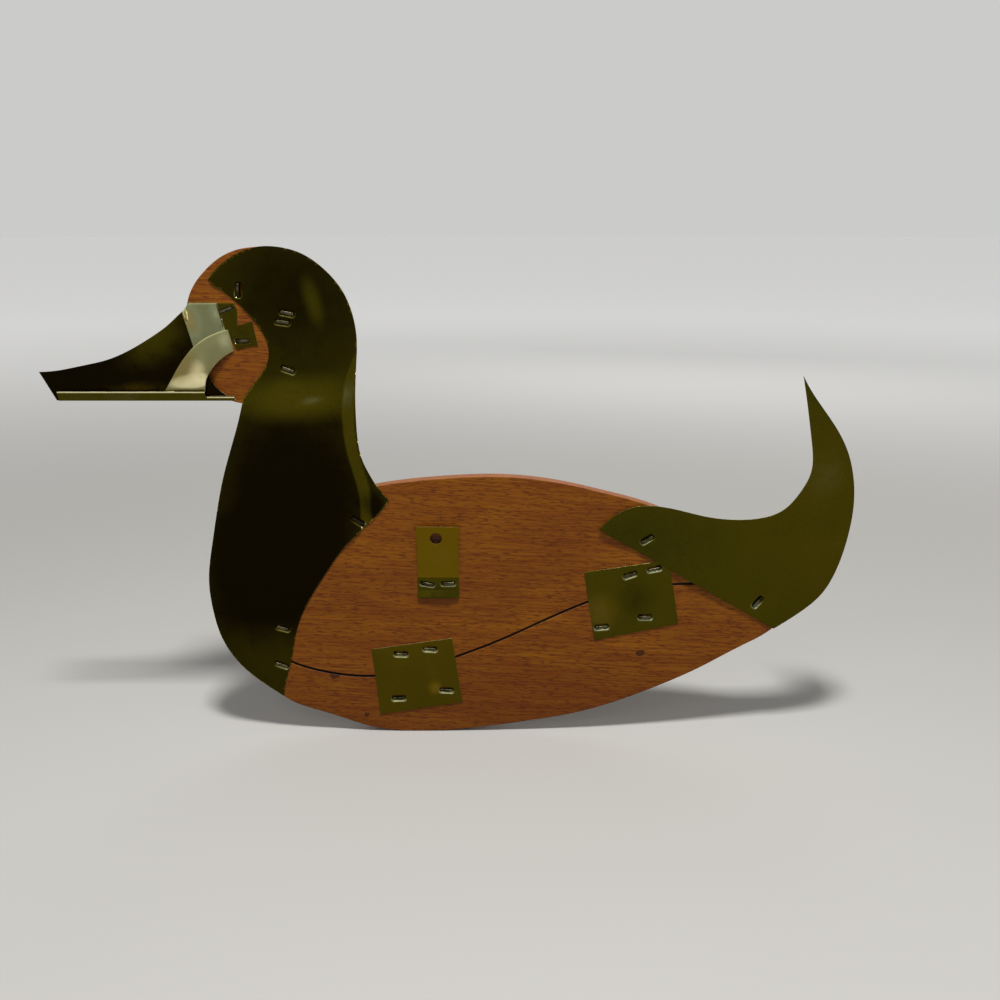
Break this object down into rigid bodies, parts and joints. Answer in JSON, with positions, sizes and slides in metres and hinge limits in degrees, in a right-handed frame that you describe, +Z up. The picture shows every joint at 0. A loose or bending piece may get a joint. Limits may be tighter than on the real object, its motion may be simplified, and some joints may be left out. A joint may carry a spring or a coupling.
{
  "type": "duck wall ornament",
  "caption": "Flat duck wall ornament: thin stained wood head and two-piece body, with sheet-brass head and neck, folded bill, tail and hanger tab stapled to the back.",
  "frame": {"origin": "centre of the nail hole in the hanger tab, in the middle of the sheet", "axes": "+X from the bill to the tail, +Z up as the duck hangs, -Y out of the back, which goes to the wall"},
  "size_m": [0.3561, 0.0118, 0.2228],
  "materials": {
    "sheet_brass": "tarnished satin sheet",
    "stained_wood": "brown stain, open pores",
    "staple_wire": "dull plated wire"
  },
  "bodies": {
    "root": {"wood_head": "stained_wood", "wood_body_upper": "stained_wood", "wood_body_lower": "stained_wood", "head_neck_sheet": "sheet_brass", "bill": "sheet_brass", "tail_sheet": "sheet_brass", "hanger_tab": "sheet_brass", "front_joining_plate": "sheet_brass", "rear_joining_plate": "sheet_brass", "head_staples": "staple_wire", "breast_staples": "staple_wire", "bill_staples": "staple_wire", "front_plate_staples": "staple_wire", "rear_plate_staples": "staple_wire", "hanger_staples": "staple_wire", "tail_staples": "staple_wire"}
  },
  "joints": []
}
